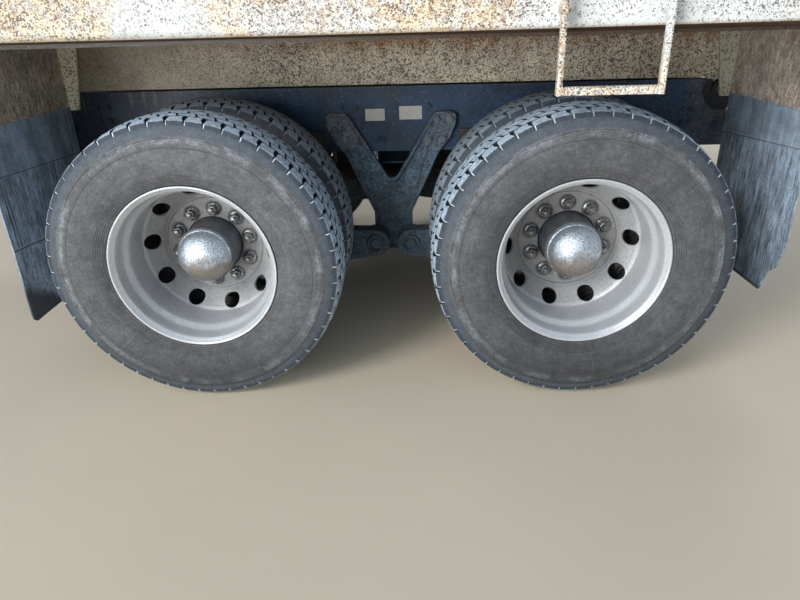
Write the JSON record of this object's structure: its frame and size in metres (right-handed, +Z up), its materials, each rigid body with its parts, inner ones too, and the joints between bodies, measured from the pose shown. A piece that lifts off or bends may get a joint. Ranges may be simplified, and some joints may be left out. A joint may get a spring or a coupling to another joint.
{
  "type": "dump truck rear tandem section",
  "caption": "Rear end section of a heavy dump truck: chassis frame with tandem axles, dual wheels, mud flaps and air suspension, under a tipping body's floor frame that hinges at the rear.",
  "frame": {"origin": "on the ground, on the centre plane, midway between the two axles", "axes": "+X to the rear of the truck, +Y to its right side, +Z up"},
  "size_m": [3.12, 2.568, 1.466],
  "materials": {
    "tyre_rubber": "worn and dusty, grey-brown",
    "rim_paint": "silver-white paint with brown dust in the dish",
    "hub_iron": "black paint, dusty",
    "cap_chrome": "chrome speckled with brown dirt",
    "chassis_paint": "dark blue-black paint under dust",
    "suspension_iron": "dark paint, dusty and flecked with rust",
    "axle_iron": "dark paint, dusty",
    "spring_rubber": "matt black rubber",
    "flap_rubber": "blue-grey rubber with dust runs",
    "rusty_steel": "beige paint rusted through",
    "body_paint": "beige-grey paint with dense rust specks",
    "rail_paint": "off-white paint with rust specks",
    "bare_steel": "worn steel with brown stains"
  },
  "bodies": {
    "chassis": {"frame_rail_left": "chassis_paint", "frame_rail_right": "chassis_paint", "frame_crossmembers": "chassis_paint", "centre_hanger_left": "suspension_iron", "centre_hanger_right": "suspension_iron", "support_arms_left": "suspension_iron", "support_arms_right": "suspension_iron", "front_axle_housing": "axle_iron", "rear_axle_housing": "axle_iron", "propshaft": "axle_iron", "torque_rods": "suspension_iron", "brake_chambers": "axle_iron", "air_springs": "spring_rubber", "shock_absorbers": "suspension_iron", "flap_brackets_left": "rusty_steel", "flap_brackets_right": "rusty_steel", "mud_flaps_left": "flap_rubber", "mud_flaps_right": "flap_rubber", "hinge_brackets": "chassis_paint", "hinge_shaft": "bare_steel"},
    "tipping_body": {"long_sills": "body_paint", "cross_sills": "body_paint", "floor_plate": "bare_steel", "side_rail_left": "rail_paint", "side_rail_right": "rail_paint", "access_step_left": "rail_paint", "access_step_right": "rail_paint"},
    "wheel_front_left": {"tyres_front_left": "tyre_rubber", "outer_rim_front_left": "rim_paint", "inner_rim_front_left": "rim_paint", "hub_drum_front_left": "hub_iron", "hub_cap_front_left": "cap_chrome"},
    "wheel_front_right": {"tyres_front_right": "tyre_rubber", "outer_rim_front_right": "rim_paint", "inner_rim_front_right": "rim_paint", "hub_drum_front_right": "hub_iron", "hub_cap_front_right": "cap_chrome"},
    "wheel_rear_left": {"tyres_rear_left": "tyre_rubber", "outer_rim_rear_left": "rim_paint", "inner_rim_rear_left": "rim_paint", "hub_drum_rear_left": "hub_iron", "hub_cap_rear_left": "cap_chrome"},
    "wheel_rear_right": {"tyres_rear_right": "tyre_rubber", "outer_rim_rear_right": "rim_paint", "inner_rim_rear_right": "rim_paint", "hub_drum_rear_right": "hub_iron", "hub_cap_rear_right": "cap_chrome"}
  },
  "joints": [
    {"name": "wheel_front_left_spin", "type": "hinge", "parent": "chassis", "child": "wheel_front_left", "pos_m": [-0.683, -0.9075, 0.525], "axis": [0, 1, 0], "continuous": true},
    {"name": "wheel_front_right_spin", "type": "hinge", "parent": "chassis", "child": "wheel_front_right", "pos_m": [-0.683, 0.9075, 0.525], "axis": [0, 1, 0], "continuous": true},
    {"name": "wheel_rear_left_spin", "type": "hinge", "parent": "chassis", "child": "wheel_rear_left", "pos_m": [0.683, -0.9075, 0.525], "axis": [0, 1, 0], "continuous": true},
    {"name": "wheel_rear_right_spin", "type": "hinge", "parent": "chassis", "child": "wheel_rear_right", "pos_m": [0.683, 0.9075, 0.525], "axis": [0, 1, 0], "continuous": true},
    {"name": "body_tilt", "type": "hinge", "parent": "chassis", "child": "tipping_body", "pos_m": [1.4, 0, 1.005], "axis": [0, 1, 0], "range_deg": [0, 50]}
  ]
}
